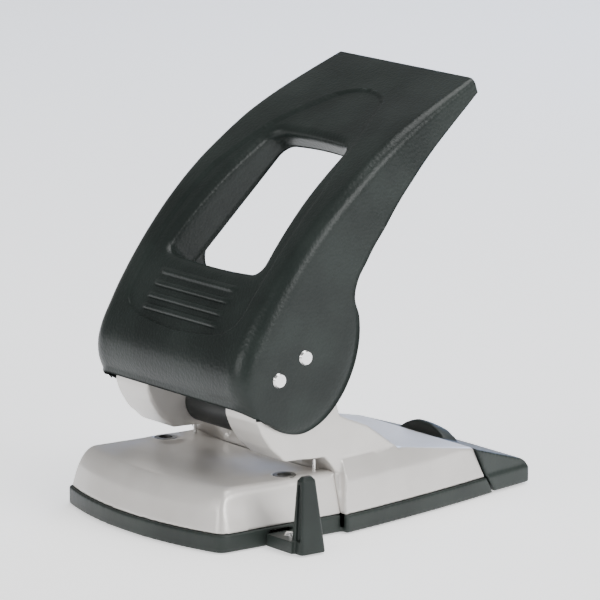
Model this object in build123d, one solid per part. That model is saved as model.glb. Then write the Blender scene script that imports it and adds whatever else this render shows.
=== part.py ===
from build123d import *
import math
import os

os.makedirs("parts", exist_ok=True)

# Frame: +X is the user's right, +Y runs from the paper slot to the back, +Z is up, desk at Z 0.

# ---- punches and drive ----
HOLE_PITCH = 80.0            # two-hole filing standard
PUNCH_Y = -41.0
PUNCH_R = 2.75
TABLE_Z = 24.0               # paper lies here
SLOT_TOP_Z = 31.0            # underside of the punch housings
PIVOT = (-51.3, 64.3)        # Y, Z of the handle's pivot
DRIVE_ARM = 14.5             # pivot to drive shaft
DRIVE_REST = 30.5            # degrees above level at rest
SWING = 45.0                 # handle travel, degrees
SHAFT_R = 2.5
HEAD_R = 3.0                 # peened ends of both shafts
HEAD_T = 0.8
SHAFT_RUN = 0.06             # running clearance of a shaft in its bore
DIE_RUN = 0.05               # punch to die and punch to sleeve, radial
PUNCH_REST = 0.6             # tip above the slot at rest
SLOT_PLAY = 0.3              # drive shaft in the punch eye and in the housing slot

# ---- body ----
RIM_W = 52.6                 # half width of the front part, at the rim
RIM_W_MID = 55.2             # half width just behind the paper slot
RIM_FRONT = -80.0            # Y of the front corners
RIM_BULGE = 8.8              # how far the front bows out
NOTCH_Y = -22.0              # Y where the body steps out
RIM_W_REAR = 36.5            # half width at the drawer seam
SEAM_Y = 66.0                # where the base tray ends, at the desk
SEAM_TOP_Y = 61.2            # and at its rim
SEAM_GAP = 0.5
REAR_Y = 88.0
RIM_W_END = 31.5             # half width at the very back
TRAY_Z = 0.5                 # tray underside above the desk
RIM_Z = 7.5
WALL = 2.4
SHELL_IN = 0.8               # body stands in from the rim
SHOULDER_Z = 28.0
SHOULDER_END = 12.0
SHELL_END_Y = 57.0
SHELL_END_Z = 20.5
DRAFT_FRONT = 15.0
DRAFT_REAR = 8.0
THROAT_W = 40.0              # half width of the way through inside the body

# ---- housings ----
HOUSE_IN = 26.3
HOUSE_OUT = 48.2
HOUSE_WALL = 2.2
HOUSE_FLOOR = 3.2

# ---- handle ----
CHEEK_W = 51.0
CHEEK_T = 2.3
TIP_W = 44.3
TAPER_Z = 130.0
HANDLE_CUT = 5.0             # the long top edges, broken back this far
SKIN = 2.5
SKIN_CUT = 3.5
TIP_END = 3.0
OPEN_LOW_W = 31.5
OPEN_HIGH_W = 24.5
OPEN_LOW = (-47.3, 100.4)
OPEN_HIGH = (4.0, 146.9)
OPEN_R = 6.0
OPEN_CUT = 22.0
COLLAR_T = 1.8               # wall round the finger opening
COLLAR_DEEP = 13.0
RIB_R = 1.3
RIB_LEN = 48.0
RIB_Z = (83.4, 87.9, 92.3, 96.8)

# ---- paper guide, drawer, small parts ----
BAR_Y = (-57.0, -46.6)
BAR_T = 1.5
BAR_END = -44.0
FOOT_T = 2.0
GUIDE_X = 66.6
GUIDE_T = 7.6
GUIDE_D = 12.0               # depth of the upright at its foot
GUIDE_TOP = (4.2, 7.0)       # and its two sizes at the top
GUIDE_H = 30.4
FOOT_Y = (-59.4, -44.6)
GROOVE = 3.0                 # channel up the front of the upright
SLIDE_GAP = 0.25
DRAWER_W = 31.0
DRAWER_WALL = 1.5
DRAWER_FRONT = -52.0
DRAWER_TOP = 12.5
RAMP_W = 45.5                # outer edge of the chip ramps beside the drawer
TAB_W = 19.0
TAB_H = 4.0
TUBE_YZ = (-32.0, 41.0)
TUBE_R = 9.0
ROD_R = 2.0
STOP_Y = -26.6
STOP_R = 0.75
STOP_TOP = 28.0
DIE_R = 4.5
DIE_H = 5.0
SLEEVE_R = 3.8
SLEEVE_TOP = 41.0
BOSS_TOP = 38.0
SEAT_Z = 57.0
SEAT_R = 5.6
WIRE_R = 0.6
COILS = 5.5
SCREW_AT = ((43.0, -68.0), (-43.0, -68.0), (38.5, 22.0), (-38.5, 22.0))
SCREW_R = 1.5
MAT_W = 34.0
MAT_L = 60.0
SCREW_HEAD_R = 2.8
FIT = 0.02                   # press fits

HANDLE_TOP = [(-66.6, 53.4), (-69.2, 61.0), (-69.4, 67.7), (-64.0, 80.6), (-51.8, 99.1),
              (-36.6, 117.3), (-17.1, 135.3), (8.3, 152.8), (28.0, 162.5), (48.0, 171.2)]
HANDLE_LEAD = [(-57.0, 25.0), (-61.0, 42.0), (-64.4, 54.5)]     # inside of the front, run on downwards
HANDLE_TIP = (50.0, 165.4)
HANDLE_UNDER = [HANDLE_TIP, (39.7, 157.3), (24.3, 145.0), (7.6, 128.1), (-6.1, 110.8), (-15.0, 92.5)]
HANDLE_LOBE = [(-15.0, 92.5), (-12.3, 79.0), (-14.2, 65.8), (-22.3, 51.5), (-32.0, 44.0),
               (-43.0, 41.4), (-54.9, 46.3), HANDLE_TOP[0]]
HOUSE_SIDE = [(-46.5, SLOT_TOP_Z), (-53.5, 37.0), (-57.5, 43.0), (-59.5, 48.0), (-59.6, 64.0),
              (-57.0, 71.0), (-51.5, 76.0), (-45.0, 79.5), (-33.0, 79.5), (-28.0, 74.0),
              (-24.0, 58.0), (-20.0, 46.0), (-5.4, 39.9), (5.3, 32.7), (SHOULDER_END, SHOULDER_Z),
              (SHOULDER_END, 24.0), (NOTCH_Y, 23.5), (-24.0, 26.5), (-27.5, 30.2)]

DRIVE = (PIVOT[0] + DRIVE_ARM * math.cos(math.radians(DRIVE_REST)),
         PIVOT[1] + DRIVE_ARM * math.sin(math.radians(DRIVE_REST)))
TRAVEL = DRIVE_ARM * (math.sin(math.radians(DRIVE_REST)) + math.sin(math.radians(SWING - DRIVE_REST)))
SIDES = (("left", -1), ("right", 1))
GUIDE_SCREW = (GUIDE_X - 6.6, (BAR_Y[0] + BAR_Y[1]) / 2 - 1.5)


def save(name, shape):
    export_step(shape, f"parts/{name}.step")


def across(outline, x_from, x_to):
    """A plate with a Y-Z outline, between two X planes."""
    face = Plane.YZ.offset(x_from) * make_face(Polyline(*outline, close=True))
    return extrude(face, x_to - x_from)


def pin(y, z, r, x_from, x_to):
    return Plane.YZ.offset(x_from) * Pos(y, z) * extrude(Circle(r), x_to - x_from)


def post(x, y, r, z_from, z_to):
    return Pos(x, y, z_from) * extrude(Circle(r), z_to - z_from)


def block(x, y, z):
    return Pos((x[0] + x[1]) / 2, (y[0] + y[1]) / 2, (z[0] + z[1]) / 2) * Box(
        x[1] - x[0], y[1] - y[0], z[1] - z[0])


def inward(points, d):
    """The same line of points, moved sideways to the right of its run by d."""
    out = []
    for i, (y, z) in enumerate(points):
        a, b = points[max(i - 1, 0)], points[min(i + 1, len(points) - 1)]
        run = math.hypot(b[0] - a[0], b[1] - a[1])
        out.append((y + d * (b[1] - a[1]) / run, z - d * (b[0] - a[0]) / run))
    return out


def rim_half_width(y):
    """Half width of the rear part: a gentle convex line from the notch to the back."""
    t = (y - NOTCH_Y) / (SEAM_Y - NOTCH_Y)
    return RIM_W_MID + (RIM_W_REAR - RIM_W_MID) * (0.72 * t + 0.28 * t * t)


def front_plan(inset, y_end):
    w, y = RIM_W - inset, RIM_FRONT + inset
    face = make_face([ThreePointArc((-w, y), (0, y - RIM_BULGE), (w, y)),
                      Polyline((w, y), (w - 0.6, y_end), (-w + 0.6, y_end), (-w, y))])
    corners = [v for v in face.vertices() if v.Y < y + 1]
    return fillet(corners, 5.0)


def rear_plan(inset, y_start, y_end):
    ys = [y_start + (y_end - y_start) * i / 5 for i in range(6)]
    side = [(rim_half_width(y) - inset, y) for y in ys]
    return make_face(Polyline(*side, *[(-x, y) for x, y in reversed(side)], close=True))


def body_outside():
    front = extrude(Pos(0, 0, RIM_Z) * front_plan(SHELL_IN, NOTCH_Y + 8), TABLE_Z - RIM_Z,
                    taper=DRAFT_FRONT)
    front = fillet(front.edges().filter_by(lambda e: e.bounding_box().min.Z > TABLE_Z - 0.01
                                           and e.bounding_box().max.Y < NOTCH_Y + 5), 3.0)
    rear = extrude(Pos(0, 0, RIM_Z) * rear_plan(SHELL_IN, NOTCH_Y, SEAM_Y), 24.0, taper=DRAFT_REAR)
    rear &= across([(NOTCH_Y, RIM_Z), (NOTCH_Y, SHOULDER_Z), (SHOULDER_END, SHOULDER_Z),
                    (SHELL_END_Y - 2, SHELL_END_Z), (SHELL_END_Y + 4, RIM_Z)], -60, 60)
    return front, rear


def body_inside():
    front = extrude(Pos(0, 0, RIM_Z - 1) * front_plan(SHELL_IN + WALL, NOTCH_Y + 4),
                    TABLE_Z - WALL - RIM_Z + 1, taper=DRAFT_FRONT)
    rear = extrude(Pos(0, 0, RIM_Z - 1) * rear_plan(SHELL_IN + WALL, NOTCH_Y + WALL, SEAM_Y + 6), 26.0,
                   taper=DRAFT_REAR)
    rear &= across([(NOTCH_Y + WALL, 0), (NOTCH_Y + WALL, SHOULDER_Z - WALL),
                    (SHOULDER_END - 1, SHOULDER_Z - WALL), (SHELL_END_Y - 3, SHELL_END_Z - WALL),
                    (SEAM_Y + 6, SHELL_END_Z - WALL - 2), (SEAM_Y + 6, 0)], -60, 60)
    joining = block((-THROAT_W, THROAT_W), (NOTCH_Y - 6, NOTCH_Y + 12), (0, TABLE_Z - WALL))
    return front, rear, joining


def make_body():
    front, rear = body_outside()
    shell = front + rear
    for v in body_inside():
        shell -= v
    for _, s in SIDES:
        x = sorted((s * HOUSE_IN, s * HOUSE_OUT))
        shell += across(HOUSE_SIDE, x[0], x[1])
        shell += post(s * HOLE_PITCH / 2, PUNCH_Y, DIE_R + 3, TABLE_Z - DIE_H, TABLE_Z - 1)
    for _, s in SIDES:
        x = sorted((s * (HOUSE_IN + HOUSE_WALL), s * (HOUSE_OUT - HOUSE_WALL)))
        shell -= across(house_room(), x[0], x[1])
        px = s * HOLE_PITCH / 2
        shell += post(px, PUNCH_Y, SLEEVE_R + 2.4, SLOT_TOP_Z + 1, BOSS_TOP)
        shell -= post(px, PUNCH_Y, SLEEVE_R + FIT, SLOT_TOP_Z - 1, BOSS_TOP + 1)
        shell -= post(px, PUNCH_Y, DIE_R + FIT, TABLE_Z - DIE_H - 1, TABLE_Z + 1)
        shell -= post(px, STOP_Y, STOP_R + FIT, TABLE_Z - WALL - 1, TABLE_Z + 1)
        shell -= drive_slot(s)
    for x, y in SCREW_AT:
        top = TABLE_Z - 1 if y < NOTCH_Y else SHOULDER_Z - 4
        shell += post(x, y, 3.6, RIM_Z - 2.8, top)
        shell -= post(x, y, SCREW_R + FIT, RIM_Z - 3, RIM_Z + 6)
    shell -= pin(*PIVOT, SHAFT_R + SHAFT_RUN, -60, 60)
    shell -= pin(*TUBE_YZ, ROD_R + 0.1, -HOUSE_IN - 3, HOUSE_IN + 3)
    return shell


def house_room():
    """The hollow of a punch housing, open at the top under the handle."""
    floor = SLOT_TOP_Z + HOUSE_FLOOR
    return [(-49.5, floor), (-55.0, 42.5), (-57.3, 48.5), (-57.4, 64.0), (-55.0, 70.0), (-50.5, 90.0),
            (-30.4, 90.0), (-30.3, 73.5), (-26.3, 57.0), (-22.0, 44.3), (-7.0, 37.9), (3.0, 31.0),
            (-19.0, 31.0), (-23.5, floor)]


def drive_slot(s):
    x = sorted((s * (HOUSE_IN - 1), s * (HOUSE_OUT + 1)))
    path = CenterArc(PIVOT, DRIVE_ARM, DRIVE_REST - SWING - 2, SWING + 4)
    return Plane.YZ.offset(x[0]) * extrude(SlotArc(path, 2 * (SHAFT_R + SLOT_PLAY)), x[1] - x[0])


def make_tray():
    outline = front_plan(0, NOTCH_Y + 2) + rear_plan(0, NOTCH_Y, SEAM_Y)
    hollow = front_plan(WALL, NOTCH_Y + 1) + rear_plan(WALL, NOTCH_Y - 0.5, SEAM_Y + 1)
    tray = Pos(0, 0, TRAY_Z) * extrude(outline, RIM_Z - TRAY_Z)
    tray -= across([(SEAM_Y, TRAY_Z - 1), (SEAM_TOP_Y, RIM_Z), (SEAM_Y + 2, RIM_Z + 1)], -60, 60)
    tray -= Pos(0, 0, TRAY_Z + 1.5) * extrude(hollow, 10)
    floor = TRAY_Z + 1.5
    for y in (BAR_Y[0] - SLIDE_GAP - 1.2, BAR_Y[1] + SLIDE_GAP):
        tray += block((BAR_END, RIM_W - 2), (y, y + 1.2), (floor - 0.2, floor + 2.2))
    top = floor + BAR_T + FOOT_T + 2 * SLIDE_GAP
    tray -= block((RIM_W - 6, RIM_W + 5), (BAR_Y[0] - SLIDE_GAP, BAR_Y[1] + SLIDE_GAP), (floor, top + 0.2))
    for s in (-1, 1):
        ramp = [(s * RAMP_W, TABLE_Z - 8.5), (s * RAMP_W, floor - 0.1), (s * (DRAWER_W + 1.5), floor - 0.1),
                (s * (DRAWER_W + 1.5), RIM_Z)]
        face = Plane.XZ.offset(34.0) * make_face(Polyline(*ramp, close=True))
        tray += extrude(face, 9.5)
    for x, y in SCREW_AT:
        tray += post(x, y, 4.2, TRAY_Z, RIM_Z - 2.9)
        tray -= post(x, y, SCREW_HEAD_R + 0.25, TRAY_Z - 1, TRAY_Z + 2.0)
        tray -= post(x, y, SCREW_R + 0.2, TRAY_Z, RIM_Z)
    tray -= mat_form(FIT)
    return tray


def mat_form(grow):
    w, h = 2 * (MAT_W + grow), 2 * (MAT_L + grow)
    return Pos(0, -6, 0) * extrude(RectangleRounded(w, h, 8), TRAY_Z + 0.8)


def make_drawer():
    y_cap = SHELL_END_Y - 1.0
    floor = TRAY_Z + 1.5 + BAR_T + FOOT_T + 0.6
    scoop = block((-DRAWER_W, DRAWER_W), (DRAWER_FRONT, SEAM_Y + 2), (floor, DRAWER_TOP))
    scoop -= block((-DRAWER_W + DRAWER_WALL, DRAWER_W - DRAWER_WALL),
                   (DRAWER_FRONT + DRAWER_WALL, y_cap), (floor + DRAWER_WALL, DRAWER_TOP + 1))
    side = [(SEAM_Y + SEAM_GAP, TRAY_Z + 0.3), (REAR_Y + 2, TRAY_Z + 0.3), (REAR_Y + 2, RIM_Z),
            (REAR_Y - 0.4, RIM_Z + 0.8), (REAR_Y - 1.5, 9.6), (REAR_Y - 4.2, 11.2),
            (SHELL_END_Y - 1.5, SHELL_END_Z - 0.5), (SEAM_TOP_Y + SEAM_GAP + 0.2, RIM_Z)]
    cap = across(side, -60, 60)
    corner = RIM_W_END - rim_half_width(REAR_Y)
    ys = [SHELL_END_Y - 8 + (REAR_Y - SHELL_END_Y + 8) * i / 6 for i in range(7)]
    edge = [(rim_half_width(y) + corner * max(0, (y - SEAM_Y) / (REAR_Y - SEAM_Y)), y) for y in ys]
    plan = make_face([Polyline(*edge), ThreePointArc(edge[-1], (0, REAR_Y + 1.5), (-edge[-1][0], REAR_Y)),
                      Polyline(*[(-x, y) for x, y in reversed(edge)], edge[0])])
    cap &= extrude(plan, RIM_Z) + extrude(offset(plan, -SHELL_IN), 40)
    room = across([(SHELL_END_Y + 3, floor + DRAWER_WALL), (REAR_Y - 3, floor + DRAWER_WALL),
                   (REAR_Y - 8.5, 9.5), (SHELL_END_Y - 1.2, SHELL_END_Z - 3.2),
                   (SHELL_END_Y - 6, SHELL_END_Z - 3.2), (SHELL_END_Y - 6, floor + DRAWER_WALL)],
                  -DRAWER_W + DRAWER_WALL + 2, DRAWER_W - DRAWER_WALL - 2)
    drawer = scoop + cap - room
    drawer -= block((-DRAWER_W + 4, DRAWER_W - 4), (SEAM_Y + 3, REAR_Y - 3), (0, floor))
    tab = across([(SHELL_END_Y + 0.6, SHELL_END_Z - 3.5), (SHELL_END_Y + 7, 16.2),
                  (SHELL_END_Y + 5.5, SHELL_END_Z + TAB_H - 2.5), (SHELL_END_Y + 2.5, SHELL_END_Z + TAB_H),
                  (SHELL_END_Y + 0.6, SHELL_END_Z + TAB_H - 0.6)], -TAB_W, TAB_W)
    low, high = SHELL_END_Z - 5, SHELL_END_Z + TAB_H
    arch = make_face([Line((-TAB_W, low), (TAB_W, low)), ThreePointArc((TAB_W, low), (0, high), (-TAB_W, low))])
    return drawer + (tab & Plane.XZ.offset(-REAR_Y) * extrude(arch, REAR_Y))


def handle_wedge(inset):
    """The outline seen from the front: upright sides that lean in towards the tip."""
    w, tip, top = CHEEK_W - inset, TIP_W - inset, HANDLE_TOP[-1][1] + 2
    mid = (TAPER_Z + top) / 2
    bow = (w - tip) / 4
    right = [Line((w, 20), (w, TAPER_Z)), ThreePointArc((w, TAPER_Z), (w - bow, mid), (tip, top))]
    left = [Line((-w, 20), (-w, TAPER_Z)), ThreePointArc((-w, TAPER_Z), (bow - w, mid), (-tip, top))]
    face = make_face(right + left + [Line((tip, top), (-tip, top)), Line((w, 20), (-w, 20))])
    return Plane.XZ.offset(-70) * extrude(face, 170)


def handle_block(inset, cut):
    """Solid under the top skin, with its long top edges broken back."""
    if inset:
        top = HANDLE_LEAD + inward(HANDLE_TOP, SKIN)[1:]
        top[-1] = (HANDLE_TOP[-1][0] - TIP_END, top[-1][1] - 0.4)
        rest = [Polyline(top[-1], (HANDLE_TIP[0] - TIP_END, HANDLE_TIP[1] - 2), (70, 120), (0, 25), top[0])]
        line = Spline(*top)
    else:
        line = Spline(*HANDLE_TOP)
        rest = [Line(HANDLE_TOP[-1], HANDLE_TIP), Spline(*HANDLE_UNDER), Spline(*HANDLE_LOBE)]
    face = Plane.YZ.offset(-60) * make_face([line] + rest)
    solid = extrude(face, 120) & handle_wedge(inset)
    long_edges = [e for e in solid.edges() if on_top_skin(e, line)]
    return chamfer(long_edges, cut)


def on_top_skin(edge, line):
    """True for the edges where the cheeks meet the top skin."""
    mid = edge @ 0.5
    near = min(math.hypot(mid.Y - (line @ (i / 400)).X, mid.Z - (line @ (i / 400)).Y) for i in range(401))
    return near < 0.4 and edge.length > 20 and abs(mid.X) > 20 and abs((edge @ 0).X - (edge @ 1).X) < 20


def skin_y(z):
    for (y0, z0), (y1, z1) in zip(HANDLE_TOP, HANDLE_TOP[1:]):
        if z0 <= z <= z1:
            return y0 + (y1 - y0) * (z - z0) / (z1 - z0)


def make_handle():
    whole = handle_block(0, HANDLE_CUT)
    handle = whole - handle_block(CHEEK_T, SKIN_CUT)
    mid = ((OPEN_LOW[0] + OPEN_HIGH[0]) / 2, (OPEN_LOW[1] + OPEN_HIGH[1]) / 2)
    run = math.hypot(OPEN_HIGH[0] - OPEN_LOW[0], OPEN_HIGH[1] - OPEN_LOW[1])
    up = ((OPEN_HIGH[0] - OPEN_LOW[0]) / run, (OPEN_HIGH[1] - OPEN_LOW[1]) / run)
    plane = Plane(origin=(0, *mid), x_dir=(1, 0, 0), z_dir=(0, -up[1], up[0]))
    hole = make_face(Polyline((-OPEN_LOW_W, -run / 2), (OPEN_LOW_W, -run / 2), (OPEN_HIGH_W, run / 2),
                              (-OPEN_HIGH_W, run / 2), close=True))
    hole = fillet(hole.vertices(), OPEN_R)
    rim = offset(hole, COLLAR_T)
    collar = plane * (extrude(rim, OPEN_CUT) + extrude(rim, -COLLAR_DEEP))
    handle += collar & whole
    handle -= plane * extrude(hole, OPEN_CUT, both=True)
    for z in RIB_Z:
        y = skin_y(z) - 0.15
        rib = pin(y, z, RIB_R, -RIB_LEN / 2, RIB_LEN / 2)
        handle += rib
    for y, z in (PIVOT, DRIVE):
        handle -= pin(y, z, SHAFT_R + FIT, -60, 60)
    return handle


def make_shaft(y, z):
    """A plain shaft, peened over outside both cheeks."""
    shaft = pin(y, z, SHAFT_R, -CHEEK_W - 0.1, CHEEK_W + 0.1)
    for s in (-1, 1):
        head = Pos(s * (CHEEK_W + FIT), y, z) * Rot(0, s * 90, 0) * Cone(
            HEAD_R, SHAFT_R, HEAD_T, align=(Align.CENTER, Align.CENTER, Align.MIN))
        shaft += head
    return shaft


def make_punch(s):
    x = s * HOLE_PITCH / 2
    tip = SLOT_TOP_Z + PUNCH_REST
    eye_y = (DRIVE[0] + PIVOT[0] + DRIVE_ARM) / 2
    half = (PIVOT[0] + DRIVE_ARM - DRIVE[0]) / 2 + SHAFT_R + SLOT_PLAY
    punch = post(x, PUNCH_Y, PUNCH_R, tip, DRIVE[1] - 4)
    punch += block((x - 3, x + 3), (PUNCH_Y - 4, eye_y + half + 3), (DRIVE[1] - 6, DRIVE[1] + 6))
    slot = SlotOverall(2 * half, 2 * (SHAFT_R + SLOT_PLAY))
    punch -= Plane.YZ.offset(x - 4) * Pos(eye_y, DRIVE[1]) * extrude(slot, 8)
    for side in (-1, 1):
        notch = [(x, tip - 1), (x, tip + 1.5), (x + side * 2.3, tip - 1)]
        face = Plane.XZ.offset(-PUNCH_Y - 5) * make_face(Polyline(*notch, close=True))
        punch -= extrude(face, 10)
    groove = post(x, PUNCH_Y, PUNCH_R + 1, SEAT_Z + 1.0 + FIT, SEAT_Z + 1.8)
    punch -= groove - post(x, PUNCH_Y, PUNCH_R - 0.6, SEAT_Z, SEAT_Z + 3)
    return punch


def ring(x, y, r_in, r_out, z_from, z_to):
    return post(x, y, r_out, z_from, z_to) - post(x, y, r_in, z_from - 1, z_to + 1)


def make_spring(x):
    """A closed-end coil between the sleeve boss and the seat washer."""
    r = SLEEVE_R + 0.4 + WIRE_R
    low, high = BOSS_TOP + WIRE_R + 0.15, SEAT_Z - WIRE_R - 0.15
    helix = Helix(pitch=(high - low) / COILS, height=high - low, radius=r)
    wire = sweep(Plane(helix @ 0, z_dir=helix % 0) * Circle(WIRE_R), path=helix)
    return Pos(x, PUNCH_Y, low) * wire


def make_guide():
    """The sliding side stop: a tapering upright on a tongue that the steel bar runs through."""
    foot_z = TRAY_Z + 1.5 + SLIDE_GAP + BAR_T
    y_mid = (FOOT_Y[0] + FOOT_Y[1]) / 2
    x_base, x_top = GUIDE_X + GUIDE_T / 2, GUIDE_X + GUIDE_TOP[0] / 2 + 0.4
    base = Pos(x_base, y_mid, TRAY_Z + 0.2) * RectangleRounded(GUIDE_T, GUIDE_D, 1.5)
    top = Pos(x_top, y_mid, GUIDE_H - 1.6) * RectangleRounded(*GUIDE_TOP, 1.5)
    lip = Pos(x_top, y_mid, GUIDE_H) * RectangleRounded(GUIDE_TOP[0] - 2, GUIDE_TOP[1] - 3, 0.9)
    foot = block((RIM_W + 0.9, GUIDE_X + 3), FOOT_Y, (TRAY_Z + 0.3, foot_z + FOOT_T))
    guide = loft([base, top]) + loft([top, lip]) + foot
    low = Pos(x_base + 0.6, y_mid - GUIDE_D / 2, foot_z + FOOT_T) * Rectangle(GROOVE, 4.0)
    high = Pos(x_top + 0.2, y_mid - GUIDE_TOP[1] / 2, GUIDE_H - 3) * Rectangle(GROOVE / 2, 2.4)
    guide -= loft([low, high])
    guide -= block((0, GUIDE_X + 2.5), BAR_Y, (-1, foot_z))
    guide -= post(*GUIDE_SCREW, 1.3, 0, 20)
    return guide


def make_bar():
    z = TRAY_Z + 1.5 + SLIDE_GAP
    bar = block((BAR_END, GUIDE_X + 2.3), (BAR_Y[0] + 0.3, BAR_Y[1] - 0.3), (z, z + BAR_T - FIT))
    return bar - post(*GUIDE_SCREW, 1.25 + FIT, 0, 20)


def make_guide_screw():
    x, y = GUIDE_SCREW
    z = TRAY_Z + 1.5 + SLIDE_GAP
    top = z + BAR_T + FOOT_T
    head = Pos(x, y, top + FIT) * Cone(2.2, 1.4, 1.0, align=(Align.CENTER, Align.CENTER, Align.MIN))
    return post(x, y, 1.25, z + 0.2, top + 0.1) + head


def main_parts():
    shell = make_body()
    front = block((-60, 60), (RIM_FRONT - RIM_BULGE - 2, NOTCH_Y), (0, TABLE_Z))
    save("punch_table", shell & front)
    save("base_shell", shell - front)
    save("base_tray", make_tray())
    save("grip_mat", mat_form(0))
    save("chip_drawer", make_drawer())
    save("handle", make_handle())
    save("pivot_shaft", make_shaft(*PIVOT))
    save("drive_shaft", make_shaft(*DRIVE))
    gap = (CHEEK_W - CHEEK_T - HOUSE_OUT) / 2
    washers = [pin(*PIVOT, 5.5, s * (HOUSE_OUT + gap) - 0.15, s * (HOUSE_OUT + gap) + 0.15)
               - pin(*PIVOT, SHAFT_R + 0.1, -60, 60) for s in (-1, 1)]
    save("pivot_washers", Compound(children=washers))
    screws = [post(x, y, SCREW_HEAD_R, TRAY_Z + 0.3, TRAY_Z + 2.0 - FIT)
              + post(x, y, SCREW_R, TRAY_Z + 1, RIM_Z + 5) for x, y in SCREW_AT]
    save("tray_screws", Compound(children=screws))
    save("cross_tube", pin(*TUBE_YZ, TUBE_R, -HOUSE_IN + 0.1, HOUSE_IN - 0.1)
         - pin(*TUBE_YZ, ROD_R + 0.1, -HOUSE_IN, HOUSE_IN))
    wall_end = HOUSE_IN + HOUSE_WALL
    save("tie_rod", pin(*TUBE_YZ, ROD_R, -wall_end - 0.1, wall_end + 2.4)
         + pin(*TUBE_YZ, 3.6, -wall_end - 2.0, -wall_end - FIT))
    nut = Plane.YZ.offset(wall_end + FIT) * Pos(*TUBE_YZ) * extrude(RegularPolygon(3.9, 6), 2.0)
    save("tie_nut", nut - pin(*TUBE_YZ, ROD_R + FIT, 0, 60))


def paired_parts():
    for side, s in SIDES:
        x = s * HOLE_PITCH / 2
        save(f"punch_{side}", make_punch(s))
        save(f"punch_sleeve_{side}", ring(x, PUNCH_Y, PUNCH_R + DIE_RUN, SLEEVE_R, SLOT_TOP_Z, SLEEVE_TOP))
        save(f"die_{side}", ring(x, PUNCH_Y, PUNCH_R + DIE_RUN, DIE_R, TABLE_Z - DIE_H, TABLE_Z))
        save(f"return_spring_{side}", make_spring(x))
        save(f"spring_seat_{side}", ring(x, PUNCH_Y, PUNCH_R + FIT, SEAT_R, SEAT_Z, SEAT_Z + 1.0))
        clip = ring(x, PUNCH_Y, PUNCH_R - 0.55, 5.2, SEAT_Z + 1.0 + 2 * FIT, SEAT_Z + 1.7)
        save(f"punch_clip_{side}", clip - block((x - 1.6, x + 1.6), (PUNCH_Y - 8, PUNCH_Y), (50, 70)))
        save(f"paper_stop_{side}", post(x, STOP_Y, STOP_R, TABLE_Z - WALL, STOP_TOP))
    save("paper_guide", make_guide())
    save("guide_bar", make_bar())
    save("guide_screw", make_guide_screw())


main_parts()
paired_parts()
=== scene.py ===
import bmesh
import bpy
import math
import numpy as np
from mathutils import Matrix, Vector


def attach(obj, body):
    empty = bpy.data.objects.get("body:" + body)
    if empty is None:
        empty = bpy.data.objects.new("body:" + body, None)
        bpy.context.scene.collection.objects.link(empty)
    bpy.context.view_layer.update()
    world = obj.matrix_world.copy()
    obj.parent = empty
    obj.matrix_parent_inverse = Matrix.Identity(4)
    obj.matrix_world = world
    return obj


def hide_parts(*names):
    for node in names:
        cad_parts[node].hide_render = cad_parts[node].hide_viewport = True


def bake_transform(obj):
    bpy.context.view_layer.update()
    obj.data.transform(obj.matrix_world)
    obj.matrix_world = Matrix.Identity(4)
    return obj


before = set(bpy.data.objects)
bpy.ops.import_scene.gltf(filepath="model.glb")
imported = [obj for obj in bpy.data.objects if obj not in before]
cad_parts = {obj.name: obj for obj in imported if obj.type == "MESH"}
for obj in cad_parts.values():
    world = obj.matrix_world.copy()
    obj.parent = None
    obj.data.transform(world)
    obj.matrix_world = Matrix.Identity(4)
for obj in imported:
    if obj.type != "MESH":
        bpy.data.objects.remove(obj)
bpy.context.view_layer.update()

# ---------------------------------------------------------------------------------------------
# Punch table and upper frame: two die castings that meet under the paper slot. Both have the
# same warm silver-grey metallic lacquer; the table is dished and rolled over at its edges. In mm.
# ---------------------------------------------------------------------------------------------
TABLE_Z = 24.0
TABLE_FRONT, TABLE_HALF = -87.6, 51.3
FRONT_BOW, FRONT_HALF = 8.8, 52.0        # the front's corners stand back this far at this half width
WALL_LEAN = 0.085
TABLE_ROLL, ROLL_STRETCH = 7.5, 1.15     # rounding of the front edge, and how much longer it is on top
SIDE_ROLL_REAR, SIDE_ROLL_MORE = 1.4, 2.6
FRONT_SET, SIDE_SET = 1.9, 1.6           # the softened copy already stands back this far
TABLE_DISH, DISH_HALF = 1.8, 56.0
DISH_Y = (-82, -48)
SIDE_FALL, FALL_FROM, FALL_RUN = 2.4, 43.0, 8.0
DIE_X, DIE_Y = 40.0, -41.0
DIE_FLAT = (4.9, 9)                      # the dish stays out of this ring round each die
SLOT_Y = -22.0
SHOULDER, SIDE_CREASE, BAND_IN = 28.0, 22.7, 2.6
FRAME_HALF, FRAME_NARROWS, FRAME_RUN = 54.4, 18.7, 88.0
RIM_Z, WALL_DRAFT = 7.5, 0.14
HOUSING_IN, HOUSING_OUT = 26.3, 48.2
STEP_FACETS = ((28, 0.45), (50, 0.95), (70, 0.55))      # degrees and depth of each cut on the step
STEP_FROM = 49.5
SILVER_DARK = (0.60, 0.575, 0.545, 1)
SILVER_LIGHT = (0.70, 0.675, 0.645, 1)


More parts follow.
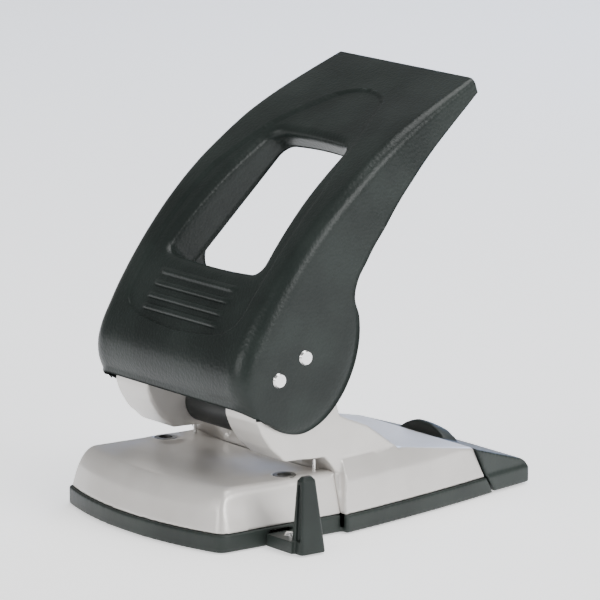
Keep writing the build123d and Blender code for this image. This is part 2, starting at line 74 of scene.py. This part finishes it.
class Sock:
    """A shader socket. Writing a sum with it adds Math nodes to its tree."""

    def __init__(self, tree, socket):
        self.tree, self.socket = tree, socket

    def node(self, kind, settings=None, values=None, out=0):
        made = self.tree.nodes.new(kind)
        for key, value in (settings or {}).items():
            if key == "stops":
                ramp = made.color_ramp.elements
                while len(ramp) < len(value):
                    ramp.new(0.5)
                for stop, (place, colour) in zip(ramp, value):
                    stop.position, stop.color = place, colour
            else:
                setattr(made, key, value)
        for key, value in (values or {}).items():
            if isinstance(value, Sock):
                self.tree.links.new(value.socket, made.inputs[key])
            else:
                made.inputs[key].default_value = value
        return Sock(self.tree, made.outputs[out])

    def sum(self, operation, a, b):
        return self.node("ShaderNodeMath", {"operation": operation}, {0: a, 1: b})

    def __add__(self, other):
        return self.sum("ADD", self, other)

    def __radd__(self, other):
        return self.sum("ADD", other, self)

    def __sub__(self, other):
        return self.sum("SUBTRACT", self, other)

    def __rsub__(self, other):
        return self.sum("SUBTRACT", other, self)

    def __mul__(self, other):
        return self.sum("MULTIPLY", self, other)

    def __rmul__(self, other):
        return self.sum("MULTIPLY", other, self)

    def step(self, low, high):
        return self.node("ShaderNodeMapRange", {"interpolation_type": "SMOOTHSTEP"},
                         {"Value": self, "From Min": low, "From Max": high})

    def noise(self, scale, detail=3.0, rough=0.5):
        return self.node("ShaderNodeTexNoise", {},
                         {"Vector": self, "Scale": scale, "Detail": detail, "Roughness": rough})

    def tint(self, low, high):
        """The colour low where this is 0 and high where it is 1."""
        return self.node("ShaderNodeMix", {"data_type": "RGBA"}, {0: self, 6: low, 7: high}, 2)

    def bump(self, distance, strength=1.0):
        return self.node("ShaderNodeBump", {},
                         {"Height": self, "Distance": distance, "Strength": strength})


def finish(name):
    """A new material, its Principled shader and its Object coordinates."""
    made = bpy.data.materials.new(name)
    made.use_nodes = True
    tree = made.node_tree
    tree.nodes.clear()
    shader = tree.nodes.new("ShaderNodeBsdfPrincipled")
    tree.links.new(shader.outputs[0], tree.nodes.new("ShaderNodeOutputMaterial").inputs[0])
    return made, shader, Sock(tree, tree.nodes.new("ShaderNodeTexCoord").outputs["Object"])


def coat(shader, **sockets):
    for name, value in sockets.items():
        target = shader.inputs[name.replace("_", " ")]
        if isinstance(value, Sock):
            value.tree.links.new(value.socket, target)
        else:
            target.default_value = value


def wear(node, paint):
    """Gives a CAD node that is shown as it is its finish."""
    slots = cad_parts[node].data.materials
    slots.clear()
    slots.append(paint)


def merged_copy(node, name):
    """A new piece with a CAD node's mesh, its loose triangles joined."""
    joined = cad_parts[node].data.copy()
    bm = bmesh.new()
    bm.from_mesh(joined)
    bmesh.ops.remove_doubles(bm, verts=bm.verts, dist=1e-6)
    bm.to_mesh(joined)
    bm.free()
    made = bpy.data.objects.new(name, joined)
    bpy.context.scene.collection.objects.link(made)
    return made


def cast_copy(node, name, voxel, passes, share):
    """A copy of a CAD node with every edge softened, as a casting or a moulding has them."""
    made = merged_copy(node, name)
    cells = made.modifiers.new("cells", "REMESH")
    cells.mode, cells.voxel_size, cells.use_smooth_shade = "VOXEL", voxel, True
    soft = made.modifiers.new("soft", "SMOOTH")
    soft.factor, soft.iterations = 0.5, passes
    if share < 1:
        thin = made.modifiers.new("thin", "DECIMATE")
        thin.ratio = share
    ready = bpy.data.meshes.new_from_object(made.evaluated_get(bpy.context.evaluated_depsgraph_get()))
    made.modifiers.clear()
    made.data = ready
    ready.name = name
    ready.materials.clear()
    for face in ready.polygons:
        face.use_smooth = True
    return made


def shape(made, mover):
    """Moves every vertex by a rule on its x, y, z in mm."""
    flat = np.empty(len(made.data.vertices) * 3)
    made.data.vertices.foreach_get("co", flat)
    at = flat.reshape(-1, 3) * 1000
    made.data.vertices.foreach_set("co", (mover(at) / 1000).ravel())
    made.data.update()


def ease(x, low, high):
    t = np.clip((x - low) / (high - low), 0.0, 1.0)
    return t * t * (3 - 2 * t)


silver, shader, at = finish("silver_lacquer")
flake = at.noise(2400.0, 2.0, 0.7)
cloud = at.noise(26.0, 3.0).step(0.3, 0.7)
orange_peel = at.noise(420.0, 2.0)
coat(shader, Base_Color=cloud.tint(SILVER_DARK, SILVER_LIGHT), Metallic=0.30 + 0.16 * flake,
     Roughness=0.30 + 0.16 * flake, Normal=(orange_peel + 0.5 * flake).bump(0.00006, 0.35),
     Coat_Weight=0.25, Coat_Roughness=0.22)


def round_off(a, b):
    """How far a square edge stands out past a rounded one along a; a and b are 1 at the edge."""
    return a - a * np.sqrt(1 - b * b / 2)


def roll_table(at):
    """Rolls the top edges of the table over and dishes its top towards the slot."""
    x, y, z = at[:, 0].copy(), at[:, 1].copy(), at[:, 2].copy()
    depth = TABLE_Z - z
    lean = WALL_LEAN * depth
    front = TABLE_FRONT + FRONT_BOW * (x / FRONT_HALF) ** 2 + FRONT_SET - lean
    from_front = np.clip(y - front, 0, TABLE_ROLL * ROLL_STRETCH) / ROLL_STRETCH
    a, b = 1 - from_front / TABLE_ROLL, 1 - np.clip(depth, 0, TABLE_ROLL) / TABLE_ROLL
    side_roll = SIDE_ROLL_REAR + SIDE_ROLL_MORE * ease(-y, 56, 80)
    from_side = np.clip(TABLE_HALF + lean * 0.75 - SIDE_SET - np.abs(x), 0, side_roll)
    c, d = 1 - from_side / side_roll, 1 - np.clip(depth, 0, side_roll) / side_roll
    y += round_off(a, b) * TABLE_ROLL * ROLL_STRETCH
    x -= np.sign(x) * round_off(c, d) * side_roll
    z -= np.maximum(round_off(b, a) * TABLE_ROLL, round_off(d, c) * side_roll)
    dish = ease(DISH_HALF - np.abs(x), 6, 34) * ease(y, *DISH_Y) * TABLE_DISH
    by_die = 1 - ease(np.hypot(np.abs(at[:, 0]) - DIE_X, y - DIE_Y), *DIE_FLAT)
    outward = np.clip((np.abs(at[:, 0]) - FALL_FROM) / FALL_RUN, 0, 1)
    z -= (dish * (1 - by_die) + SIDE_FALL * outward ** 2) * ease(at[:, 2], TABLE_Z - 12, TABLE_Z - 3)
    return np.stack([x, y, z], axis=1)


def trim(at, beyond, way):
    """Pushes what lies beyond a plane back onto it; way is the plane's outward direction."""
    return at - np.clip(beyond, 0, None)[:, None] * way


def shoulder_frame(at):
    """Leans a band in above each side wall, carries the housings' tails down to it and rounds the step."""
    side = np.where(at[:, 0] < 0, -1.0, 1.0)
    x, y, z = np.abs(at[:, 0]), at[:, 1], at[:, 2]
    t = (y - SLOT_Y) / FRAME_RUN
    wall_top = FRAME_HALF - FRAME_NARROWS * (0.72 * t + 0.28 * t * t) - WALL_DRAFT * (SHOULDER - RIM_Z)
    band_top = wall_top - BAND_IN
    squeeze = np.clip((band_top - HOUSING_IN) / (HOUSING_OUT - HOUSING_IN), 0.5, 1)
    squeeze = np.where(y > SLOT_Y, squeeze, 1)
    tail = np.clip(x - HOUSING_IN, 0, None)
    x = x - tail * (1 - squeeze) * ease(z, SHOULDER - 1.5, SHOULDER + 0.5)
    at = np.stack([x, y, z], axis=1)
    rise = SHOULDER - SIDE_CREASE
    slope = math.hypot(rise, BAND_IN)
    beyond = ((x - band_top) * rise + (z - SHOULDER) * BAND_IN) / slope
    on_band = (z < SHOULDER + 1) & (y > SLOT_Y - 1) & (x > band_top - 2)
    at = trim(at, np.where(on_band, beyond, 0), np.array([rise / slope, 0, BAND_IN / slope]))
    corner = FRAME_HALF - WALL_DRAFT * (at[:, 2] - RIM_Z)
    for turn, deep in STEP_FACETS:
        way = np.array([math.cos(math.radians(turn)), -math.sin(math.radians(turn)), 0])
        beyond = (at[:, 0] - corner) * way[0] + (at[:, 1] - SLOT_Y) * way[1] + deep
        on_step = (at[:, 1] < SLOT_Y + 5) & (at[:, 1] > SLOT_Y - 1.5) & (at[:, 0] > STEP_FROM)
        at = trim(at, np.where(on_step, beyond, 0), way)
    return at * np.stack([side, np.ones_like(side), np.ones_like(side)], axis=1)


table = cast_copy("punch_table", "table_casting", 0.0006, 8, 0.55)
shape(table, roll_table)
upper = cast_copy("base_shell", "frame_casting", 0.00065, 8, 0.5)
shape(upper, shoulder_frame)
for casting, node in ((table, "punch_table"), (upper, "base_shell")):
    casting.data.materials.append(silver)
    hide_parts(node)
    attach(casting, "base")

# ---------------------------------------------------------------------------------------------
# Foot tray, rear drawer and side guide: injection-moulded, dark green-black, satin from a
# lightly spark-eroded mould, scuffed a little paler in scattered patches.
# ---------------------------------------------------------------------------------------------
PLASTIC_DARK = (0.013, 0.018, 0.016, 1)
PLASTIC_LIGHT = (0.026, 0.034, 0.030, 1)

moulded, shader, at = finish("moulded_black")
spark = at.noise(1400.0, 3.0, 0.65)
cloud = at.noise(45.0, 3.0).step(0.3, 0.72)
scuff = at.noise(150.0, 4.0, 0.7).step(0.55, 0.75)
coat(shader, Base_Color=(0.75 * cloud + 0.25 * scuff).tint(PLASTIC_DARK, PLASTIC_LIGHT),
     Roughness=0.36 + 0.12 * spark + 0.10 * scuff, Normal=spark.bump(0.00007, 0.45),
     Specular_IOR_Level=0.3)
for node, name, body, slot, voxel, share in (
        ("base_tray", "foot_tray", "base", "black_plastic", 0.0006, 0.4),
        ("chip_drawer", "rear_drawer", "drawer_body", "drawer_plastic", 0.0006, 0.5),
        ("paper_guide", "side_guide", "guide_body", "guide_plastic", 0.0003, 1.0)):
    part = cast_copy(node, name, voxel, 5, share)
    part.data.materials.append(moulded)
    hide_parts(node)
    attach(part, body)

# ---------------------------------------------------------------------------------------------
# Handle: one hollow lever with two cheeks, a collared finger opening in a shallow panel and
# four grip ribs. Die-cast, then painted black over a leather-grained surface. In mm: the crest is
# the skin's line at X 0 as (Y, Z), and each point of the edge is where the cheek beside it ends.
# ---------------------------------------------------------------------------------------------
HANDLE_CREST = [(-66.6, 53.4), (-69.2, 61.0), (-69.4, 67.7), (-67.3, 74.4), (-64.0, 80.6), (-60.4, 86.8),
                (-56.3, 92.9), (-51.8, 99.1), (-47.0, 105.3), (-42.0, 111.3), (-36.6, 117.3),
                (-30.6, 123.4), (-24.2, 129.4), (-17.1, 135.3), (-9.0, 141.4), (-0.6, 147.3),
                (8.3, 152.8), (18.9, 158.3), (30.0, 163.4), (39.6, 167.6), (48.0, 171.2)]
HANDLE_EDGE = [(-57.0, 47.6), (-48.5, 43.0), (-39.5, 41.6), (-31.0, 44.5), (-24.0, 50.0), (-18.5, 57.0),
               (-14.4, 65.5), (-12.5, 75.0), (-12.9, 84.5), (-15.1, 92.0), (-13.4, 99.5), (-9.5, 105.6),
               (-5.5, 111.6), (-0.2, 118.2), (5.0, 124.9), (11.0, 131.8), (18.3, 139.3), (26.5, 146.8),
               (35.6, 154.2), (43.6, 160.5), (49.9, 165.4)]
# Half width of the cheeks and rounding of the long edges by height, and of the panel by length.
CHEEK_HALF = [(50, 51.0), (120, 51.0), (135, 50.7), (150, 49.4), (160, 47.4), (167, 45.6), (171.5, 44.3)]
EDGE_ROUND = [(50, 9.0), (85, 8.5), (100, 7.5), (120, 6.5), (150, 5.0), (171, 2.6)]
OPEN_FROM, OPEN_TO = 56.6, 122.3
OPEN_LOW_HALF, OPEN_HIGH_HALF = 31.6, 24.6
OPEN_CORNER = 5.5
PANEL_HALF = [(25.5, 0), (26.5, 14), (28, 26), (30, 32), (33.5, 36), (38, 37.8), (60, 38.5), (80, 38),
              (97, 36.5), (112, 32.0), (125, 27.3), (133, 23.5), (143, 18.5), (150, 14.5), (153.5, 10.5),
              (155.6, 5.0), (156.4, 0)]
RIB_AT = (31.8, 36.9, 42.3, 47.7)
COLLAR_AXIS = (0.672, -0.741)
COLLAR_MIDDLE = (-21.65, 123.65)
COLLAR_ALONG = (0.741, 0.672)
COLLAR_DEPTH = 11.7
COLLAR_TILT = 0.09
COLLAR_STEPS = 5
OPEN_LIP, OPEN_LIP_DEEP = 4.5, 3.0
BOW_HEAD, BOW_FOOT = 2.4, 1.0            # how far the opening's two ends are bowed
PANEL_DEEP, PANEL_EDGE = 0.85, 0.7
TOP_DISH = 1.2
RIB_HIGH, RIB_WIDE = 1.0, 1.35
RIB_END = (23.4, 24.8)
FRONT_BEAD = 0.6
CHEEK_BORDER, BORDER_IN = 4.6, 1.3
ROUND_TURN = 82                          # degrees that the top edge turns before the cheek
WALL = 2.3
IN_HOLE, TO_ROUND, ROUND, CHEEK = 20, 22, 9, 13          # columns of half the mesh
TIP_ROWS = 5


def along(points, t):
    """A smooth line through the points; t counts them from 0."""
    i = min(max(int(t), 0), len(points) - 2)
    f = t - i
    a, b, c, d = (np.array(points[min(max(i + k, 0), len(points) - 1)]) for k in (-1, 0, 1, 2))
    return 0.5 * (2 * b + (c - a) * f + (2 * a - 5 * b + 4 * c - d) * f ** 2
                  + (3 * b - a - 3 * c + d) * f ** 3)


def read_off(pairs, x):
    """The value at x on the straight lines between (x, value) pairs."""
    return float(np.interp(x, [p[0] for p in pairs], [p[1] for p in pairs]))


fine = np.linspace(0, len(HANDLE_CREST) - 1, 1200)
line = np.array([along(HANDLE_CREST, t) for t in fine])
run = np.concatenate([[0], np.cumsum(np.linalg.norm(np.diff(line, axis=0), axis=1))])
LENGTH = run[-1]


def crest_at(s):
    """Crest point, the direction into the handle and the cheek's edge at a length along it."""
    s = min(max(s, 0.0), LENGTH)
    t = float(np.interp(s, run, fine))
    last = len(HANDLE_CREST) - 1
    ahead = along(HANDLE_CREST, min(t + 0.05, last)) - along(HANDLE_CREST, max(t - 0.05, 0))
    ahead /= np.linalg.norm(ahead)
    return along(HANDLE_CREST, t), np.array([ahead[1], -ahead[0]]), along(HANDLE_EDGE, t)


def hole_half(s):
    return OPEN_LOW_HALF + (OPEN_HIGH_HALF - OPEN_LOW_HALF) * (s - OPEN_FROM) / (OPEN_TO - OPEN_FROM)


def from_hole(x, s):
    """Distance outside the rounded opening."""
    middle, reach = (OPEN_FROM + OPEN_TO) / 2, (OPEN_TO - OPEN_FROM) / 2
    a = abs(x) - (hole_half(min(max(s, OPEN_FROM), OPEN_TO)) - OPEN_CORNER)
    b = abs(s - middle) - (reach - OPEN_CORNER)
    return math.hypot(max(a, 0), max(b, 0)) + min(max(a, b), 0) - OPEN_CORNER


def lattice_rows():
    """Lengths along the crest for the rows of the mesh, closer at the ribs and the opening's ends."""
    rows, s = [0.0], 0.0
    while s < LENGTH - 0.3:
        gap = 1.15
        if 24 < s < 50:
            gap = 0.42
        for end, way in ((OPEN_FROM, 1), (OPEN_TO, -1)):
            d = (s - end) * way
            if -5 <= d < OPEN_CORNER:
                gap = min(gap, 0.30 + 0.10 * abs(d))
        if 146 < s < 158:
            gap = 0.7
        s += gap
        rows.append(s)
    for end in (OPEN_FROM, OPEN_TO):
        rows[int(np.argmin([abs(r - end) for r in rows]))] = end
    rows[-1] = LENGTH
    return rows


def section(s):
    """Half of the cross-section, (x, depth down the cheek) by column, and the flat top's half width."""
    crest, _, edge = crest_at(s)
    depth = float(np.linalg.norm(edge - crest))
    half = read_off(CHEEK_HALF, crest[1])
    r = min(read_off(EDGE_ROUND, crest[1]), depth - 1.5)
    inset = 0.0
    for end, way in ((OPEN_FROM, 1), (OPEN_TO, -1)):
        d = (s - end) * way
        if 0 <= d < OPEN_CORNER:
            inset = OPEN_CORNER - math.sqrt(OPEN_CORNER ** 2 - (OPEN_CORNER - d) ** 2)
        elif -16 < d < 0:
            inset = OPEN_CORNER * (1 - ease(-d, 0, 16))
    hole = hole_half(min(max(s, OPEN_FROM - 12), OPEN_TO + 20)) - inset
    flat = half - r
    out = []
    for k in range(IN_HOLE + 1):
        out.append((hole * k / IN_HOLE, 0.0))
    for k in range(1, TO_ROUND + 1):
        out.append((hole + (flat - hole) * (k / TO_ROUND) ** 1.35, 0.0))
    for k in range(1, ROUND + 1):
        a = math.radians(ROUND_TURN) * k / ROUND
        out.append((flat + r * math.sin(a), r * (1 - math.cos(a))))
    x0, d0 = out[-1]
    for k in range(1, CHEEK + 1):
        d = d0 + (depth - d0) * k / CHEEK
        x = x0 + (half - x0) * min(1.0, (d - d0) / 4.0)
        x -= BORDER_IN * ease(d, depth - CHEEK_BORDER, depth) * (1 - ease(s, 40, 62))
        out.append((x, d))
    return out, flat


def place(s, column, parts):
    """The point of the outer skin at a row and a column, in mm."""
    (x, d), flat = parts[0][abs(column)], parts[1]
    bow = 0.0
    if abs(x) < 40:
        w = max(1 - (x / 30.0) ** 2, 0)
        bow = BOW_HEAD * w * (1 - ease(abs(s - OPEN_TO), 0, 18))
        bow -= BOW_FOOT * w * (1 - ease(abs(s - OPEN_FROM), 0, 9))
    crest, inside, edge = crest_at(s + bow)
    down = (edge - crest) / np.linalg.norm(edge - crest)
    sink = 0.0
    if d == 0:
        off = from_hole(x, s)
        if off < OPEN_LIP:
            sink += OPEN_LIP_DEEP * (1 - math.sqrt(max(0.0, 1 - (1 - max(off, 0) / OPEN_LIP) ** 2)))
        if PANEL_HALF[0][0] < s < PANEL_HALF[-1][0]:
            panel = read_off(PANEL_HALF, s)
            sink += PANEL_DEEP * (1 - ease(x, panel - PANEL_EDGE, panel + PANEL_EDGE))
        sink += TOP_DISH * (1 - ease(x, 8, flat)) * ease(s, 30, 60) * (1 - ease(s, 150, LENGTH))
        for rib in RIB_AT:
            side = abs(s - rib) / RIB_WIDE
            if side < 1:
                sink -= RIB_HIGH * math.sqrt(1 - side ** 2) * (1 - ease(x, *RIB_END))
    if d < 6:
        sink -= FRONT_BEAD * (1 - ease(s, 1.2, 1.9))
    p = crest + down * d + inside * sink
    return (math.copysign(x, column) if column else 0.0), p[0], p[1]


def build_handle():
    rows = lattice_rows()
    half = IN_HOLE + TO_ROUND + ROUND + CHEEK
    steps = len(rows) - 1 + TIP_ROWS
    bm = bmesh.new()
    bmesh.ops.create_grid(bm, x_segments=2 * half, y_segments=steps, size=1.0)
    parts = [section(s) for s in rows]
    crest, _, edge = crest_at(LENGTH)
    fall = edge - crest
    deep = float(np.linalg.norm(fall))
    spot = {}
    for v in bm.verts:
        column = round(v.co.x * half)
        row = round((v.co.y + 1) / 2 * steps)
        spot[v] = (column, row)
        if row < len(rows):
            v.co = place(rows[row], column, parts[row])
        else:
            x, y, z = place(rows[-1], column, parts[-1])
            d = float(np.dot(np.array([y, z]) - crest, fall / deep))
            reach = min(deep * (row - len(rows) + 1) / TIP_ROWS, max(0.0, deep - d))
            v.co = (x, y + fall[0] / deep * reach, z + fall[1] / deep * reach)
    first, last = rows.index(OPEN_FROM), rows.index(OPEN_TO)
    inner = [f for f in bm.faces
             if max(abs(spot[v][0]) for v in f.verts) <= IN_HOLE
             and first <= min(spot[v][1] for v in f.verts) and max(spot[v][1] for v in f.verts) <= last]
    bmesh.ops.delete(bm, geom=inner, context="FACES")
    ring = [e for e in bm.edges if e.is_boundary
            and all(abs(spot[v][0]) <= IN_HOLE and first <= spot[v][1] <= last for v in e.verts)]
    axis = np.array(COLLAR_AXIS)
    for k in range(COLLAR_STEPS):
        grown = bmesh.ops.extrude_edge_only(bm, edges=ring)["geom"]
        for v in (g for g in grown if isinstance(g, bmesh.types.BMVert)):
            p = np.array([v.co.y, v.co.z])
            off = p - np.array(COLLAR_MIDDLE)
            left = COLLAR_DEPTH - COLLAR_TILT * float(np.dot(off, COLLAR_ALONG)) - float(np.dot(off, axis))
            p = p + axis * left / (COLLAR_STEPS - k)
            v.co.y, v.co.z = p[0], p[1]
        ring = [g for g in grown if isinstance(g, bmesh.types.BMEdge)]
    for v in bm.verts:
        v.co *= 0.001
    bmesh.ops.remove_doubles(bm, verts=bm.verts, dist=0.00001)
    bmesh.ops.dissolve_degenerate(bm, edges=bm.edges, dist=0.000002)
    bmesh.ops.recalc_face_normals(bm, faces=bm.faces)
    top = max(bm.faces, key=lambda f: f.calc_center_median().z - 10 * abs(f.calc_center_median().x))
    if top.normal.z < 0:
        bmesh.ops.reverse_faces(bm, faces=bm.faces)
    for f in bm.faces:
        f.smooth = True
    mesh = bpy.data.meshes.new("handle_casting")
    bm.to_mesh(mesh)
    bm.free()
    handle = bpy.data.objects.new("handle_casting", mesh)
    bpy.context.scene.collection.objects.link(handle)
    thick = handle.modifiers.new("wall", "SOLIDIFY")
    thick.thickness, thick.offset = WALL / 1000, -1.0
    soft = handle.modifiers.new("edge", "BEVEL")
    soft.width, soft.segments, soft.limit_method = 0.0006, 2, "ANGLE"
    soft.angle_limit = math.radians(48)
    return handle


leather, shader, at = finish("leather_grain_paint")
cells = at.node("ShaderNodeTexVoronoi", {"feature": "SMOOTH_F1"},
                {"Vector": at, "Scale": 820.0, "Smoothness": 0.5, "Randomness": 1.0})
pores = at.noise(1700.0, 3.0, 0.6)
cloud = at.noise(40.0, 3.0).step(0.3, 0.72)
coat(shader, Base_Color=cloud.tint((0.008, 0.012, 0.0105, 1), (0.016, 0.022, 0.0195, 1)),
     Roughness=0.28 + 0.16 * pores, Normal=(cells + 0.4 * pores).bump(0.00015, 0.5),
     Specular_IOR_Level=0.28)
handle = build_handle()
handle.data.materials.append(leather)
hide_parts("handle")
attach(handle, "handle_body")

# ---------------------------------------------------------------------------------------------
# Pins, rods and screws: turned or cold-headed steel, bright, peened or screwed in place.
# The two shafts end in small flat polished heads outside the cheeks.
# ---------------------------------------------------------------------------------------------
polished, shader, at = finish("polished_pin")
turned = at.noise(900.0, 3.0, 0.55)
coat(shader, Base_Color=turned.tint((0.80, 0.80, 0.79, 1), (0.92, 0.92, 0.91, 1)), Metallic=1.0,
     Roughness=0.20 + 0.12 * turned, Normal=turned.bump(0.00003, 0.3))
for node in ("pivot_shaft", "drive_shaft", "tie_rod", "tie_nut", "guide_screw", "guide_bar", "tray_screws",
             "paper_stop_left", "paper_stop_right"):
    wear(node, polished)

# ---------------------------------------------------------------------------------------------
# Punches, sleeves, dies, springs, seats and clips: hardened tool steel and spring wire with a
# thin oily grey oxide.
# ---------------------------------------------------------------------------------------------
oiled, shader, at = finish("oiled_tool_steel")
ground = at.noise(700.0, 4.0, 0.6)
patch = at.noise(120.0, 3.0).step(0.35, 0.7)
coat(shader, Base_Color=patch.tint((0.16, 0.16, 0.15, 1), (0.34, 0.335, 0.32, 1)), Metallic=1.0,
     Roughness=0.30 + 0.20 * ground, Normal=ground.bump(0.00004, 0.35))
for side in ("left", "right"):
    for kind in ("punch", "punch_sleeve", "die", "spring_seat", "punch_clip"):
        wear(f"{kind}_{side}", oiled)
    spring = merged_copy(f"return_spring_{side}", f"coil_spring_{side}")
    spring.data.materials.clear()
    spring.data.materials.append(oiled)
    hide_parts(f"return_spring_{side}")
    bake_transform(spring)

# ---------------------------------------------------------------------------------------------
# Cross tube and rubber mat: a black-painted steel tube that spaces the housings, and the soft
# mat under the tray that grips the desk. Nylon washers keep the cheeks off the housings.
# ---------------------------------------------------------------------------------------------
tube_paint, shader, at = finish("tube_black")
speck = at.noise(800.0, 3.0, 0.6)
coat(shader, Base_Color=speck.tint((0.010, 0.012, 0.012, 1), (0.020, 0.023, 0.022, 1)),
     Roughness=0.38 + 0.14 * speck, Normal=speck.bump(0.00006, 0.4))
wear("cross_tube", tube_paint)

rubber, shader, at = finish("mat_rubber")
crumb = at.noise(1100.0, 4.0, 0.7)
coat(shader, Base_Color=crumb.tint((0.016, 0.016, 0.016, 1), (0.034, 0.034, 0.033, 1)),
     Roughness=0.72 + 0.18 * crumb, Normal=crumb.bump(0.0002, 0.6))
wear("grip_mat", rubber)

nylon, shader, at = finish("nylon_washer")
haze = at.noise(500.0, 3.0)
coat(shader, Base_Color=haze.tint((0.62, 0.61, 0.57, 1), (0.72, 0.71, 0.68, 1)),
     Roughness=0.42 + 0.15 * haze, Normal=haze.bump(0.00004, 0.3))
wear("pivot_washers", nylon)

# ---------------------------------------------------------------------------------------------
# Studio: a long lens from the front right, a white table and large soft lights overhead, to
# the right and behind.
# ---------------------------------------------------------------------------------------------
camera = bpy.data.objects.new("camera", bpy.data.cameras.new("camera"))
bpy.context.scene.collection.objects.link(camera)
camera.data.sensor_width, camera.data.lens = 36.0, 304.8
camera.data.clip_start, camera.data.clip_end = 0.1, 30
camera.location = (1.58179, -1.17411, 0.48361)
camera.rotation_euler = (math.radians(78.456), 0, math.radians(53.504))
bpy.context.scene.camera = camera

bm = bmesh.new()
bmesh.ops.create_grid(bm, x_segments=1, y_segments=1, size=12)
floor = bpy.data.objects.new("floor", bpy.data.meshes.new("floor"))
bm.to_mesh(floor.data)
bm.free()
bpy.context.scene.collection.objects.link(floor)
white, shader, at = finish("white_table")
coat(shader, Base_Color=(0.86, 0.86, 0.86, 1), Roughness=0.85, Specular_IOR_Level=0.05,
     Emission_Color=(1, 1, 1, 1), Emission_Strength=0.9)
floor.data.materials.append(white)


def soft_light(name, place, aim, wide, high, power, colour=(1, 1, 1)):
    light = bpy.data.objects.new(name, bpy.data.lights.new(name, "AREA"))
    bpy.context.scene.collection.objects.link(light)
    light.data.shape, light.data.size, light.data.size_y = "RECTANGLE", wide, high
    light.data.energy, light.data.color = power, colour
    light.location = place
    light.rotation_euler = (Vector(aim) - Vector(place)).to_track_quat("-Z", "Y").to_euler()


soft_light("overhead", (0.15, 0.35, 1.5), (0, 0, 0.05), 1.3, 0.9, 20)
soft_light("right", (1.5, 0.3, 0.75), (0, 0, 0.07), 0.9, 0.7, 19)
soft_light("front", (0.1, -1.7, 0.7), (0, 0, 0.03), 0.8, 0.5, 9)
soft_light("cool_rear", (-0.9, 1.3, 0.7), (0, 0, 0.05), 0.8, 0.5, 9, (0.45, 0.6, 1.0))
world = bpy.data.worlds.new("studio")
world.use_nodes = True
world.node_tree.nodes["Background"].inputs[0].default_value = (1, 1, 1, 1)
world.node_tree.nodes["Background"].inputs[1].default_value = 0.35
bpy.context.scene.world = world
